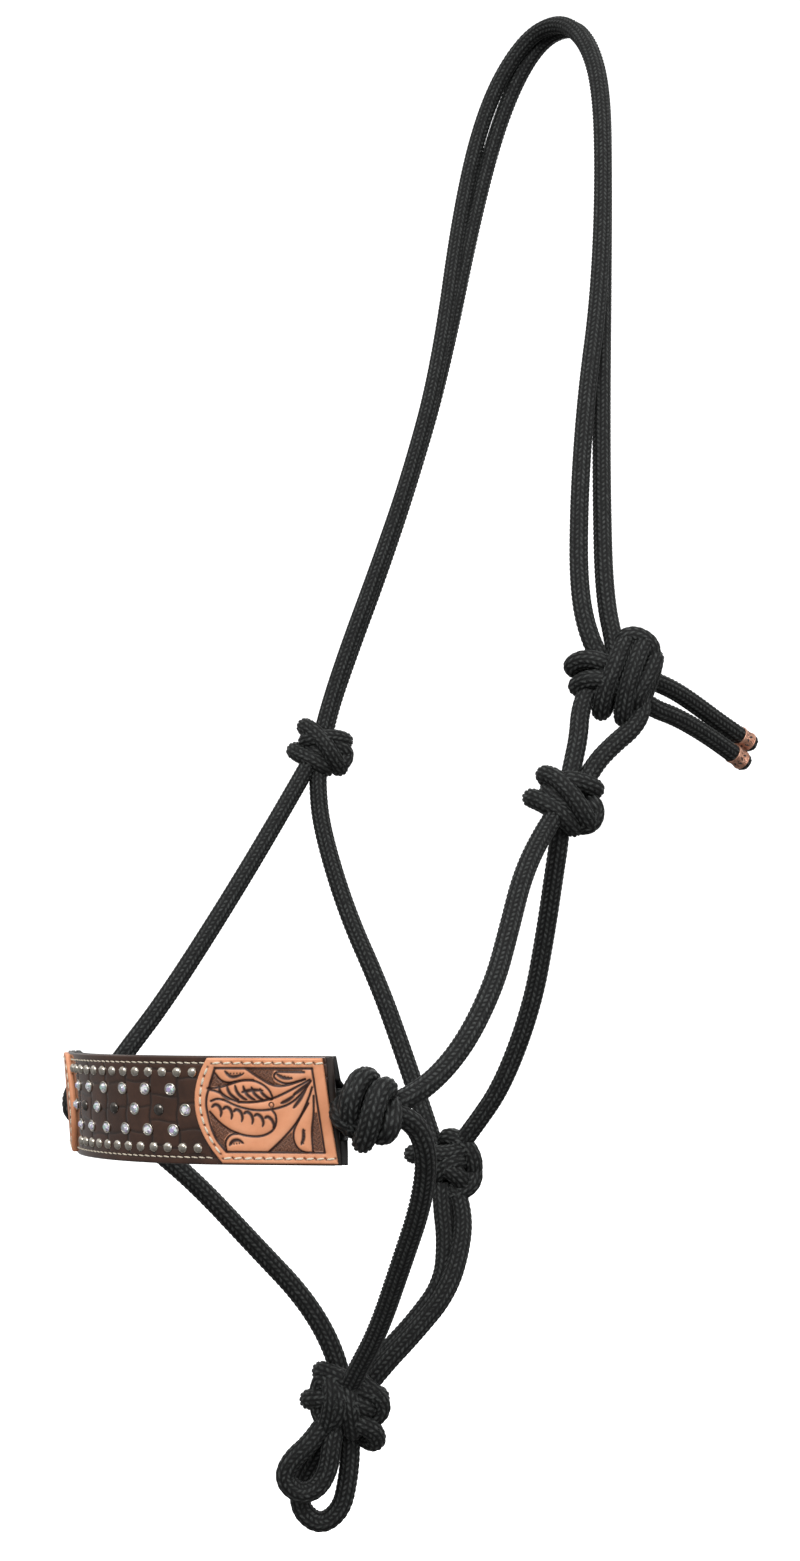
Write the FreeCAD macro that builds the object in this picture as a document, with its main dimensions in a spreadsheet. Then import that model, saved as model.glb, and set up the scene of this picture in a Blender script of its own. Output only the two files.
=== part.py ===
import FreeCAD, Part
import math
import os
from FreeCAD import Placement, Rotation, Vector

# Rope halter with a decorated leather noseband, held up at the poll.
# The origin is under the top of the crown, where it rests on the horse's poll.
# +Z is up, -X is towards the nose, and -Y is the side that the crown ties on.
doc = FreeCAD.newDocument("rope_halter")

# ---------------------------------------------------------------- driving dimensions
DIMENSIONS = {
    "rope_diameter": 10.0,
    "band_height": 50.8,
    "band_bend_radius": 93.6,
    "band_half_turn": 36.6,
    "band_arm_length": 52.0,
    "band_lean": 0.12,
    "base_thickness": 3.0,
    "overlay_thickness": 1.2,
    "lining_thickness": 2.3,
    "sleeve_depth": 10.5,
    "sleeve_half_height": 10.6,
    "sleeve_edge_height": 14.2,
    "plate_thickness": 2.6,
    "plate_length": 54.3,
    "plate_height": 49.0,
    "plate_bulge": 9.0,
    "plate_end_margin": 2.8,
    "thread_diameter": 0.6,
    "thread_inset": 3.3,
    "spot_diameter": 4.9,
    "spot_rise": 1.7,
    "spot_pitch": 7.6,
    "spot_row_height": 17.7,
    "spot_shift": 0.6,
    "crystal_shift": 1.1,
    "dark_spot_diameter": 5.6,
    "crystal_diameter": 4.4,
    "crystal_rise": 1.8,
    "crystal_pitch": 13.8,
    "crystal_row_height": 9.6,
    "setting_wire": 0.4,
    "whipping_length": 9.0,
    "whipping_thickness": 0.9,
    "whipping_setback": 2.5,
}

sheet = doc.addObject("Spreadsheet::Sheet", "dimensions")
for row, (alias, number) in enumerate(DIMENSIONS.items(), start=1):
    sheet.set(f"A{row}", alias)
    sheet.set(f"B{row}", str(number))
    sheet.setAlias(f"B{row}", alias)
doc.recompute()


def size(alias):
    """The number in one cell of the sheet."""
    return float(sheet.get(alias))


ROPE_RADIUS = size("rope_diameter") / 2

# The noseband's level and its front, and the centres of the halter's knots.
BAND_LEVEL = -682.0
BAND_FRONT = -348.5
NEAR_NOSE_KNOT = Vector(-293, -112, BAND_LEVEL)
FAR_NOSE_KNOT = Vector(-281, 110, BAND_LEVEL)
NEAR_CHEEK_KNOT = Vector(-129, -100, -522)
FAR_CHEEK_KNOT = Vector(-127, 90, -476)
CROWN_TIE_KNOT = Vector(-97, -112, -452)
THROAT_KNOT = Vector(-122, -6, -722)
FIADOR_KNOT = Vector(-196, 0, -841)

subparts = []


def keep(part, label):
    """Give a sub-part its own label and put it on the list of files."""
    part.Label = label
    subparts.append(part)
    return part


# ---------------------------------------------------------------- ropes
# A rope's centre line is straight runs joined by tangent arcs.
ROUTES = {
    "far_cheek_rope": [(-276, 108, -676), (-262, 106, -659), (-237, 102, -630),
                       (-197, 97, -576), (-159, 93, -522), (-133, 91, -484)],
    "near_cheek_rope": [(-286, -113, -681), (-270, -119, -677), (-240, -122, -656),
                        (-210, -118, -624), (-189, -111, -594), (-171, -105, -566),
                        (-150, -101, -543), (-136, -100, -530)],
    "far_throat_rope": [(-133.4, 84.8, -511), (-134, 75.5, -541), (-132.6, 59, -581),
                        (-128, 38, -622), (-125, 23, -658), (-124, 9, -690),
                        (-123, 0, -712)],
    "near_throat_rope": [(-127, -95, -544), (-123, -88, -562), (-117, -77, -593),
                         (-112, -63, -633), (-112, -42, -676), (-116, -24, -700),
                         (-120, -12, -715)],
    "far_chin_rope": [(-270, 97, -697), (-258, 81, -711), (-245, 62, -731),
                      (-228, 40, -760), (-209, 17, -791), (-199, 5, -822)],
    "near_chin_rope": [(-268, -122, -694), (-260, -118, -706), (-247, -106, -728),
                       (-229, -80, -760), (-210, -44, -799), (-202, -18, -824)],
    "drop_strand_front": [(-129, -9, -744), (-133, -13, -762), (-143, -16, -785),
                          (-160, -12, -805), (-175, -7, -820)],
    "drop_strand_rear": [(-120, -18, -744), (-123, -22, -762), (-134, -26, -788),
                         (-152, -22, -809), (-168, -17, -825)],
    "lead_loop_outer": [(-189, 1, -867), (-190, 2, -883), (-193, 6, -898),
                        (-201, 14, -905), (-208, 21, -897), (-207, 20, -883),
                        (-202, 15, -869)],
    "lead_loop_inner": [(-212, 6, -863), (-219, 13, -873), (-221, 16, -884),
                        (-215, 10, -892), (-208, 3, -889), (-205, 0, -878),
                        (-205, 0, -866)],
    "tie_loop_front": [(-122, -101, -502), (-118, -102, -487), (-115, -101, -472),
                       (-110, -103, -459)],
    "tie_loop_rear": [(-113, -109, -502), (-104, -115, -491), (-93, -121, -481),
                      (-87, -123, -470), (-89, -119, -459)],
    "tail_strand_upper": [(-72, -117, -451), (-53, -120, -455), (-33, -122, -462),
                          (-9, -125, -472), (13, -128, -480)],
    "tail_strand_lower": [(-71, -117, -467), (-53, -120, -470), (-33, -122, -475.5),
                          (-12, -125, -483.5), (7, -127, -491.5)],
    "crown_strand_front": [(-122, 88, -452), (-111, 81, -412), (-97, 70, -363),
                           (-81, 58, -304), (-63, 49, -231), (-32, 56, -107),
                           (-15, 48, -36), (-5, 24, 3), (-5, -6, 5), (-11, -31, -19),
                           (-20, -49, -59), (-38, -64, -132), (-60, -76, -215),
                           (-77, -81, -281), (-93, -83, -346), (-107, -91, -405),
                           (-106, -105, -438)],
    "crown_strand_rear": [(-114, 95, -452), (-103, 87, -412), (-89, 76, -363),
                          (-74, 64, -304), (-56, 53, -231), (-24, 50, -107),
                          (-5, 41, -36), (5, 21, 3), (5, -8, 5), (-1, -28, -19),
                          (-11, -44, -59), (-30, -58, -132), (-52, -70, -215),
                          (-69, -75, -281), (-85, -83, -346), (-97, -95, -405),
                          (-98, -110, -438)],
}


def rope_path(points, radii=None):
    """Straight runs joined by tangent arcs, and the smallest arc's radius."""
    corners = [Vector(*point) for point in points]
    runs = [corners[i + 1].distanceToPoint(corners[i]) for i in range(len(corners) - 1)]
    edges = []
    start = corners[0]
    tightest = math.inf
    for i in range(1, len(corners) - 1):
        back = (corners[i - 1] - corners[i]).normalize()
        ahead = (corners[i + 1] - corners[i]).normalize()
        half_turn = (math.pi - back.getAngle(ahead)) / 2
        radius = 0.45 * min(runs[i - 1], runs[i]) / math.tan(half_turn)
        if radii and radii.get(i):
            radius = radii[i]
        tightest = min(tightest, radius)
        setback = radius * math.tan(half_turn)
        middle = (back + ahead).normalize()
        to_middle = radius / math.cos(half_turn) - radius
        arc_start = corners[i] + back * setback
        arc_end = corners[i] + ahead * setback
        edges.append(Part.LineSegment(start, arc_start).toShape())
        edges.append(Part.Arc(arc_start, corners[i] + middle * to_middle, arc_end).toShape())
        start = arc_end
    edges.append(Part.LineSegment(start, corners[-1]).toShape())
    return Part.Wire(edges), tightest


def rope(label, points, radii=None):
    """A round rope swept along its centre line."""
    wire, tightest = rope_path(points, radii)
    path = doc.addObject("Part::Feature", label + "_path")
    path.Shape = wire
    section = doc.addObject("Part::Circle", label + "_section")
    section.setExpression("Radius", "dimensions.rope_diameter / 2")
    direction = (Vector(*points[1]) - Vector(*points[0])).normalize()
    section.Placement = Placement(Vector(*points[0]), Rotation(Vector(0, 0, 1), direction))
    sweep = doc.addObject("Part::Sweep", label)
    sweep.Sections = [section]
    sweep.Spine = (path, [f"Edge{i + 1}" for i in range(len(wire.Edges))])
    sweep.Solid = True
    sweep.Frenet = False
    doc.recompute()
    expected = math.pi * ROPE_RADIUS ** 2 * wire.Length
    print(f"{label}: length {wire.Length:.0f} mm, tightest radius {tightest:.0f} mm, "
          f"volume {sweep.Shape.Volume / expected:.3f} of section x length")
    return keep(sweep, label)


for rope_label, route in ROUTES.items():
    rope(rope_label, route)


# ---------------------------------------------------------------- knots
def origin_plane(body, role):
    """The body's own origin plane of that role."""
    return [plane for plane in body.Origin.OriginFeatures if plane.Role == role][0]


def knot(label, centre, axis, half_length, half_width):
    """A worked knot as a turned solid: two rounded turns side by side, a neck at each end."""
    body = doc.addObject("PartDesign::Body", label)
    sketch = body.newObject("Sketcher::SketchObject", label + "_outline")
    sketch.AttachmentSupport = [(origin_plane(body, "XZ_Plane"), "")]
    sketch.MapMode = "FlatFace"
    neck = ROPE_RADIUS * 1.3
    waist = half_width * 0.88
    foot = Vector(0, -half_length, 0)
    foot_edge = Vector(neck, -half_length, 0)
    middle = Vector(waist, 0, 0)
    head_edge = Vector(neck, half_length, 0)
    head = Vector(0, half_length, 0)
    sketch.addGeometry(Part.LineSegment(foot, foot_edge), False)
    sketch.addGeometry(Part.Arc(foot_edge, Vector(half_width, -half_length / 2, 0), middle), False)
    sketch.addGeometry(Part.Arc(middle, Vector(half_width, half_length / 2, 0), head_edge), False)
    sketch.addGeometry(Part.LineSegment(head_edge, head), False)
    sketch.addGeometry(Part.LineSegment(head, foot), False)
    turned = body.newObject("PartDesign::Revolution", label + "_turned")
    turned.Profile = sketch
    turned.ReferenceAxis = (sketch, ["V_Axis"])
    turned.Angle = 360
    body.Tip = turned
    body.Placement = Placement(centre, Rotation(Vector(0, 0, 1), Vector(*axis)))
    return keep(body, label)


KNOTS = {
    "near_nose_knot": (NEAR_NOSE_KNOT, (0.6, -0.8, 0.1), 13.0, 15.5),
    "far_nose_knot": (FAR_NOSE_KNOT, (0.6, 0.8, 0.1), 15.0, 16.0),
    "near_cheek_knot": (NEAR_CHEEK_KNOT, (0.3, -0.1, 0.9), 17.0, 16.5),
    "far_cheek_knot": (FAR_CHEEK_KNOT, (0.2, 0.1, 0.95), 17.0, 15.5),
    "crown_tie_knot": (CROWN_TIE_KNOT, (0.5, -0.3, 0.8), 20.0, 20.5),
    "throat_knot": (THROAT_KNOT, (-0.1, 0.1, 1), 16.0, 15.5),
    "fiador_knot": (FIADOR_KNOT, (-0.3, 0, 0.95), 19.5, 19.0),
}
for knot_label, (centre, axis, half_length, half_width) in KNOTS.items():
    knot(knot_label, centre, axis, half_length, half_width)


# ---------------------------------------------------------------- the noseband's bend
HALF_TURN = math.radians(size("band_half_turn"))
BEND = size("band_bend_radius")
ARM = size("band_arm_length")
LEAN = size("band_lean")
ARC_LENGTH = BEND * HALF_TURN
HALF_BAND = size("band_height") / 2


def band_point(along, up, out):
    """A point on the noseband: along from its front, up from its middle, out from its hide."""
    side = -1 if along < 0 else 1
    turn = min(abs(along) / BEND, HALF_TURN)
    rest = max(abs(along) - ARC_LENGTH, 0)
    reach = BEND + out
    x = BEND - reach * math.cos(turn) + rest * math.sin(turn)
    y = reach * math.sin(turn) + rest * math.cos(turn)
    return Vector(BAND_FRONT + x - LEAN * up, side * y, BAND_LEVEL + up)


def band_normal(along):
    """The direction that points square out of the leaning noseband there."""
    turn = min(abs(along) / BEND, HALF_TURN)
    side = -1 if along < 0 else 1
    return Vector(-math.cos(turn), side * math.sin(turn), -LEAN * math.cos(turn)).normalize()


def band_outline(label, up, inner, outer, reach):
    """A level slice of one layer, between two distances out, as a closed wire."""
    def face(out):
        stops = [-reach, -ARC_LENGTH, 0, ARC_LENGTH, reach]
        near_end, near_bend, front, far_bend, far_end = [band_point(s, up, out) for s in stops]
        arc = Part.Arc(near_bend, front, far_bend).toShape()
        if reach <= ARC_LENGTH:
            quarter = [band_point(s, up, out) for s in (-reach, 0, reach)]
            return [Part.Arc(*quarter).toShape()], quarter[0], quarter[2]
        lines = [Part.LineSegment(near_end, near_bend).toShape(), arc,
                 Part.LineSegment(far_bend, far_end).toShape()]
        return lines, near_end, far_end
    outside, outside_near, outside_far = face(outer)
    inside, inside_near, inside_far = face(inner)
    edges = outside + [Part.LineSegment(outside_far, inside_far).toShape()]
    edges += [edge.reversed() for edge in reversed(inside)]
    edges.append(Part.LineSegment(inside_near, outside_near).toShape())
    slice_wire = doc.addObject("Part::Feature", label)
    slice_wire.Shape = Part.Wire(Part.__sortEdges__(edges))
    return slice_wire


def band_layer(label, slices, reach):
    """A layer of the noseband, ruled from slice to slice: (up, inner, outer)."""
    loft = doc.addObject("Part::Loft", label)
    loft.Sections = [band_outline(f"{label}_slice_{i}", up, inner, outer, reach)
                     for i, (up, inner, outer) in enumerate(slices)]
    loft.Solid = True
    loft.Ruled = True
    return keep(loft, label)


REACH = ARC_LENGTH + ARM
BASE_FACE = size("base_thickness")
OVERLAY_FACE = BASE_FACE + size("overlay_thickness")
SLEEVE = -size("sleeve_depth")
SLEEVE_TOP = size("sleeve_half_height")
SLEEVE_EDGE = size("sleeve_edge_height")
LINING = size("lining_thickness")

band_layer("noseband_base", [(-HALF_BAND, 0, BASE_FACE), (HALF_BAND, 0, BASE_FACE)], REACH)
band_layer("noseband_overlay", [(-HALF_BAND, BASE_FACE, OVERLAY_FACE),
                                (HALF_BAND, BASE_FACE, OVERLAY_FACE)], REACH)
band_layer("noseband_lining", [(-HALF_BAND, -LINING, 0), (-SLEEVE_EDGE, -LINING, 0),
                               (-SLEEVE_TOP, SLEEVE - LINING, SLEEVE),
                               (SLEEVE_TOP, SLEEVE - LINING, SLEEVE),
                               (SLEEVE_EDGE, -LINING, 0), (HALF_BAND, -LINING, 0)], REACH)

# Two runs of rope lie side by side in the sleeve and end in the nose knots.
NOSE_ROPE_OUT = -ROPE_RADIUS - 0.2
for rope_label, up in (("nose_rope_upper", ROPE_RADIUS + 0.1),
                       ("nose_rope_lower", -ROPE_RADIUS - 0.1)):
    near_end, far_end = [band_point(s, up, NOSE_ROPE_OUT) for s in (-REACH - 4, REACH + 4)]
    near_bend = band_point(-ARC_LENGTH, up, NOSE_ROPE_OUT)
    arm_run = (near_bend - near_end).normalize()
    corner = near_bend + arm_run * (math.tan(HALF_TURN) * (BEND + NOSE_ROPE_OUT))
    lift = Vector(0, 0, up * 0.8)
    nose_points = [NEAR_NOSE_KNOT + lift, near_end, corner, far_end, FAR_NOSE_KNOT + lift]
    rope(rope_label, [tuple(point) for point in nose_points], {2: BEND + NOSE_ROPE_OUT})


# ---------------------------------------------------------------- threads along the edges
THREAD = size("thread_diameter")
THREAD_UP = HALF_BAND - size("thread_inset")
for thread_label, up in (("edge_thread_top", THREAD_UP), ("edge_thread_bottom", -THREAD_UP)):
    band_layer(thread_label, [(up - THREAD / 2, OVERLAY_FACE, OVERLAY_FACE + THREAD),
                              (up + THREAD / 2, OVERLAY_FACE, OVERLAY_FACE + THREAD)], 50.0)


# ---------------------------------------------------------------- tooled plates
def plate_outline(sketch, inset, mirror):
    """The plate's edge: three straight sides and one that bows towards the front."""
    half_length = size("plate_length") / 2 - inset
    top = size("plate_height") / 2 - inset
    skew = LEAN * math.sin(HALF_TURN) * top
    bow = size("plate_length") / 2 + size("plate_bulge") - inset
    front_top = Vector(mirror * (-half_length - skew), top, 0)
    front_bottom = Vector(mirror * (-half_length + skew), -top, 0)
    end_top = Vector(mirror * (half_length - skew), top, 0)
    end_bottom = Vector(mirror * (half_length + skew), -top, 0)
    sketch.addGeometry(Part.Arc(front_top, Vector(mirror * -bow, 0, 0), front_bottom), False)
    sketch.addGeometry(Part.LineSegment(front_bottom, end_bottom), False)
    sketch.addGeometry(Part.LineSegment(end_bottom, end_top), False)
    sketch.addGeometry(Part.LineSegment(end_top, front_top), False)


def plate_body(label, insets, out, thickness, side):
    """A flat piece on one arm of the noseband, padded from its outline."""
    along = side * (REACH - size("plate_end_margin") - size("plate_length") / 2)
    across = Vector(-side * math.sin(HALF_TURN), -math.cos(HALF_TURN), 0)
    outward = band_normal(along)
    body = doc.addObject("PartDesign::Body", label)
    sketch = body.newObject("Sketcher::SketchObject", label + "_outline")
    sketch.AttachmentSupport = [(origin_plane(body, "XY_Plane"), "")]
    sketch.MapMode = "FlatFace"
    for inset in insets:
        plate_outline(sketch, inset, -side)
    pad = body.newObject("PartDesign::Pad", label + "_pad")
    pad.Profile = sketch
    pad.setExpression("Length", "dimensions." + thickness)
    body.Tip = pad
    body.Placement = Placement(band_point(along, 0, out),
                               Rotation(across, outward.cross(across), outward, "ZXY"))
    return keep(body, label)


PLATE_FACE = OVERLAY_FACE + size("plate_thickness")
for side, name in ((-1, "near"), (1, "far")):
    plate_body(name + "_tooled_plate", [0], OVERLAY_FACE, "plate_thickness", side)
    plate_body(name + "_plate_thread", [2.4, 2.4 + THREAD], PLATE_FACE + 0.02,
               "thread_diameter", side)


# ---------------------------------------------------------------- spots and crystals
def stud_place(along, up, rise=0.0):
    """Where a stud stands on the overlay, with its own Z pointing out."""
    return Placement(band_point(along, up, OVERLAY_FACE + rise),
                     Rotation(Vector(0, 0, 1), band_normal(along)))


def group(label, solids):
    """Like solids kept as one sub-part."""
    compound = doc.addObject("Part::Compound", label)
    compound.Links = solids
    return keep(compound, label)


def spots(label, places, width, rise):
    """Domed metal spots on the overlay."""
    domes = []
    for i, (along, up) in enumerate(places):
        dome = doc.addObject("Part::Ellipsoid", f"{label}_{i}")
        dome.setExpression("Radius1", "dimensions." + rise)
        dome.setExpression("Radius2", f"dimensions.{width} / 2")
        dome.setExpression("Radius3", f"dimensions.{width} / 2")
        dome.Angle1 = 0
        dome.Angle2 = 90
        dome.Placement = stud_place(along, up)
        domes.append(dome)
    group(label, domes)


def crystals(row, places):
    """Cut crystals on the overlay, each held by a wire rim."""
    stones = []
    rims = []
    for i, (along, up) in enumerate(places):
        stone = doc.addObject("Part::Cone", f"crystal_{row}_{i}")
        stone.setExpression("Radius1", "dimensions.crystal_diameter / 2")
        stone.setExpression("Radius2", "dimensions.crystal_diameter / 4")
        stone.setExpression("Height", "dimensions.crystal_rise")
        stone.Placement = stud_place(along, up)
        stones.append(stone)
        rim = doc.addObject("Part::Torus", f"rim_{row}_{i}")
        rim.setExpression("Radius1", "dimensions.crystal_diameter / 2 + dimensions.setting_wire")
        rim.setExpression("Radius2", "dimensions.setting_wire * 0.9")
        rim.Placement = stud_place(along, up, size("setting_wire"))
        rims.append(rim)
    group("crystals_" + row, stones)
    group("crystal_settings_" + row, rims)


SPOT_COUNT = 13
SPOT_ROW = size("spot_row_height")
SPOT_SHIFT = size("spot_shift")
spot_stops = [SPOT_SHIFT + (i - SPOT_COUNT // 2) * size("spot_pitch") for i in range(SPOT_COUNT)]
spots("top_spots", [(along, SPOT_ROW) for along in spot_stops], "spot_diameter", "spot_rise")
spots("bottom_spots", [(along, -SPOT_ROW) for along in spot_stops[:-1]],
      "spot_diameter", "spot_rise")

PITCH = size("crystal_pitch")
CRYSTAL_ROW = size("crystal_row_height")
SHIFT = size("crystal_shift")
outer_stops = [SHIFT + PITCH * (i - 2.5) for i in range(6)]
crystals("upper", [(along, CRYSTAL_ROW) for along in outer_stops])
crystals("lower", [(along, -CRYSTAL_ROW) for along in outer_stops])
crystals("middle", [(SHIFT + PITCH * i, 0) for i in (-3, -1, 1, 3)])
spots("dark_spots", [(SHIFT + PITCH * i, 0) for i in (-2, 0, 2)],
      "dark_spot_diameter", "spot_rise")


# ---------------------------------------------------------------- whippings on the tails
for level in ("upper", "lower"):
    tail_points = [Vector(*point) for point in ROUTES["tail_strand_" + level]]
    run = (tail_points[-1] - tail_points[-2]).normalize()
    start = tail_points[-1] - run * (size("whipping_length") + size("whipping_setback"))
    tubes = []
    for layer, extra in (("outside", "dimensions.whipping_thickness"), ("inside", "0.03")):
        tube = doc.addObject("Part::Cylinder", f"whipping_{level}_{layer}")
        tube.setExpression("Radius", "dimensions.rope_diameter / 2 + " + extra)
        tube.setExpression("Height", "dimensions.whipping_length")
        tube.Placement = Placement(start, Rotation(Vector(0, 0, 1), run))
        tubes.append(tube)
    whipping = doc.addObject("Part::Cut", "tail_whipping_" + level)
    whipping.Base = tubes[0]
    whipping.Tool = tubes[1]
    keep(whipping, "tail_whipping_" + level)


# ---------------------------------------------------------------- check and write
doc.recompute()
for item in doc.Objects:
    if "Invalid" in item.State or "Error" in item.State:
        raise RuntimeError(f"{item.Label} failed: {item.State}")
for part in subparts:
    if part.Shape.isNull() or not part.Shape.isValid() or not part.Shape.Solids:
        raise RuntimeError(f"{part.Label} has no valid solid")

os.makedirs("parts", exist_ok=True)
for part in subparts:
    part.Shape.exportStep(f"parts/{part.Label}.step")
print(len(subparts), "sub-parts written")
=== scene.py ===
import bmesh
import bpy
import math
import numpy as np
from mathutils import Matrix, Vector


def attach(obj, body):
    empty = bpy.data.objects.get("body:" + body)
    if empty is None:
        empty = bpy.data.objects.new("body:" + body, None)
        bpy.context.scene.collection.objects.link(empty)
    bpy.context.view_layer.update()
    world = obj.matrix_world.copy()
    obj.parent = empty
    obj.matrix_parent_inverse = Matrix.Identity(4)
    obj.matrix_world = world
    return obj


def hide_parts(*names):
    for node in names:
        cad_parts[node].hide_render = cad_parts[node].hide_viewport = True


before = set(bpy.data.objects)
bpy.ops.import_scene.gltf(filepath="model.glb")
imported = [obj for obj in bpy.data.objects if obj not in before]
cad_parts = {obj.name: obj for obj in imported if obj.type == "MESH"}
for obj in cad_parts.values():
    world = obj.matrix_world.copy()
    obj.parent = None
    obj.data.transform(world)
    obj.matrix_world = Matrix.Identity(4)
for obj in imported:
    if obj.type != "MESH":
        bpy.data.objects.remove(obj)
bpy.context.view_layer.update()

# ---------------------------------------------------------------- camera
# A level look from the horse's near side and a little to the front, set low
# beside the noseband, so that the crown is seen from underneath.
camera_data = bpy.data.cameras.new("camera")
camera_data.lens = 45
camera_data.sensor_width = 36
camera_data.sensor_height = 36
camera_data.sensor_fit = "VERTICAL"
camera = bpy.data.objects.new("camera", camera_data)
camera.location = (-0.957, -0.751, -0.635)
camera.rotation_euler = (math.radians(96.7), 0, math.radians(-47))
bpy.context.collection.objects.link(camera)
bpy.context.scene.camera = camera


# ---------------------------------------------------------------- the rope itself
# Black 10 mm polyester rope with a hard round braid: twelve columns of short
# plaits whose V marks point along the rope, slightly satin where they stand up:
# its colour has painted shade in the grooves between plaits and a painted sheen
# on their crests, broken into flecks by noise.
ROPE_RADIUS = 0.005
PLAIT_COLUMNS = 12
STEPS_PER_COLUMN = 4
PLAIT_LENGTH = 0.0031
STEPS_PER_PLAIT = 5
PLAIT_LEAN = 0.45
PLAIT_RISE = 0.0008


def shader_node(tree, kind, **inputs):
    """A new node with some of its sockets set, spaces in a name written as _."""
    node = tree.nodes.new(kind)
    for socket, value in inputs.items():
        node.inputs[socket.replace("_", " ")].default_value = value
    return node


def pattern(tree, kind, **inputs):
    """A texture node laid out on the object's own coordinates."""
    place = tree.nodes.new("ShaderNodeTexCoord")
    node = shader_node(tree, kind, **inputs)
    tree.links.new(place.outputs["Object"], node.inputs["Vector"])
    return node


def new_material(name, base, roughness):
    """A material and its Principled shader, with a plain colour to start from."""
    material = bpy.data.materials.new(name)
    material.use_nodes = True
    shader = material.node_tree.nodes["Principled BSDF"]
    shader.inputs["Base Color"].default_value = (*base, 1)
    shader.inputs["Roughness"].default_value = roughness
    return material, material.node_tree, shader


def colour_ramp(tree, factor, stops):
    """Colours laid out along a factor socket: (position, colour)."""
    ramp = tree.nodes.new("ShaderNodeValToRGB")
    elements = ramp.color_ramp.elements
    while len(elements) < len(stops):
        elements.new(0.5)
    for element, (position, colour) in zip(elements, stops):
        element.position = position
        element.color = (*colour, 1)
    tree.links.new(factor, ramp.inputs["Fac"])
    return ramp.outputs["Color"]


def add_bump(tree, shader, height, strength, distance):
    """Bump the shader's normal with a height socket."""
    bump = shader_node(tree, "ShaderNodeBump", Strength=strength, Distance=distance)
    tree.links.new(height, bump.inputs["Height"])
    tree.links.new(bump.outputs["Normal"], shader.inputs["Normal"])


rope_black, tree, shader = new_material("rope_black", (0.02, 0.022, 0.021), 0.58)
# The crest attribute, times a fleck noise, picks the colour: painted shade in the grooves and a painted sheen
# on the crests.
crest = tree.nodes.new("ShaderNodeAttribute")
crest.attribute_name = "crest"
fleck_noise = pattern(tree, "ShaderNodeTexNoise", Scale=420.0, Detail=3.0, Roughness=0.7)
lifted = tree.nodes.new("ShaderNodeMath")
lifted.operation = "MULTIPLY"
tree.links.new(crest.outputs["Fac"], lifted.inputs[0])
tree.links.new(fleck_noise.outputs["Fac"], lifted.inputs[1])
tone = colour_ramp(tree, lifted.outputs["Value"], [
    (0.12, (0.0018, 0.002, 0.002)), (0.32, (0.009, 0.01, 0.0097)), (0.52, (0.062, 0.066, 0.064))])
tree.links.new(tone, shader.inputs["Base Color"])
yarn = shader_node(tree, "ShaderNodeTexWave", Scale=2.6, Distortion=2.5, Detail=1.0)
yarn.bands_direction = "Y"
place = tree.nodes.new("ShaderNodeTexCoord")
tree.links.new(place.outputs["UV"], yarn.inputs["Vector"])
add_bump(tree, shader, yarn.outputs["Fac"], 0.35, 0.0002)
shader.inputs["Sheen Weight"].default_value = 0.03
shader.inputs["Sheen Roughness"].default_value = 0.45
shader.inputs["Specular IOR Level"].default_value = 0.3


def mesh_from(name, shape):
    """A finished bmesh as a mesh."""
    mesh = bpy.data.meshes.new(name)
    shape.to_mesh(mesh)
    shape.free()
    return mesh


def piece_from(name, mesh, material, smooth=True):
    """A finished mesh as an object at the origin, with its material."""
    for polygon in mesh.polygons:
        polygon.use_smooth = smooth
    mesh.materials.clear()
    mesh.materials.append(material)
    piece = bpy.data.objects.new(name, mesh)
    bpy.context.collection.objects.link(piece)
    return piece


def smooth_line(points, closed=False):
    """The points of a NURBS spline that runs along a rope's route."""
    curve = bpy.data.curves.new("line", "CURVE")
    curve.dimensions = "3D"
    curve.resolution_u = 24
    spline = curve.splines.new("NURBS")
    spline.points.add(len(points) - 1)
    for point, place in zip(spline.points, points):
        point.co = (*place, 1)
    spline.order_u = 3
    spline.use_endpoint_u = not closed
    spline.use_cyclic_u = closed
    holder = bpy.data.objects.new("line", curve)
    mesh = bpy.data.meshes.new_from_object(holder)
    line = [vertex.co.copy() for vertex in mesh.vertices]
    bpy.data.objects.remove(holder)
    bpy.data.curves.remove(curve)
    bpy.data.meshes.remove(mesh)
    return line


def plait_stops(line, closed):
    """The line divided evenly, a few steps to each plait."""
    places = np.array([tuple(point) for point in line])
    if closed:
        places = np.vstack([places, places[:1]])
    runs = np.linalg.norm(np.diff(places, axis=0), axis=1)
    along = np.concatenate([[0], np.cumsum(runs)])
    plaits = round(along[-1] / PLAIT_LENGTH)
    steps = np.linspace(0, along[-1], plaits * STEPS_PER_PLAIT + 1)
    if closed:
        steps = steps[:-1]
    return np.stack([np.interp(steps, along, places[:, axis]) for axis in range(3)], axis=1), plaits


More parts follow.
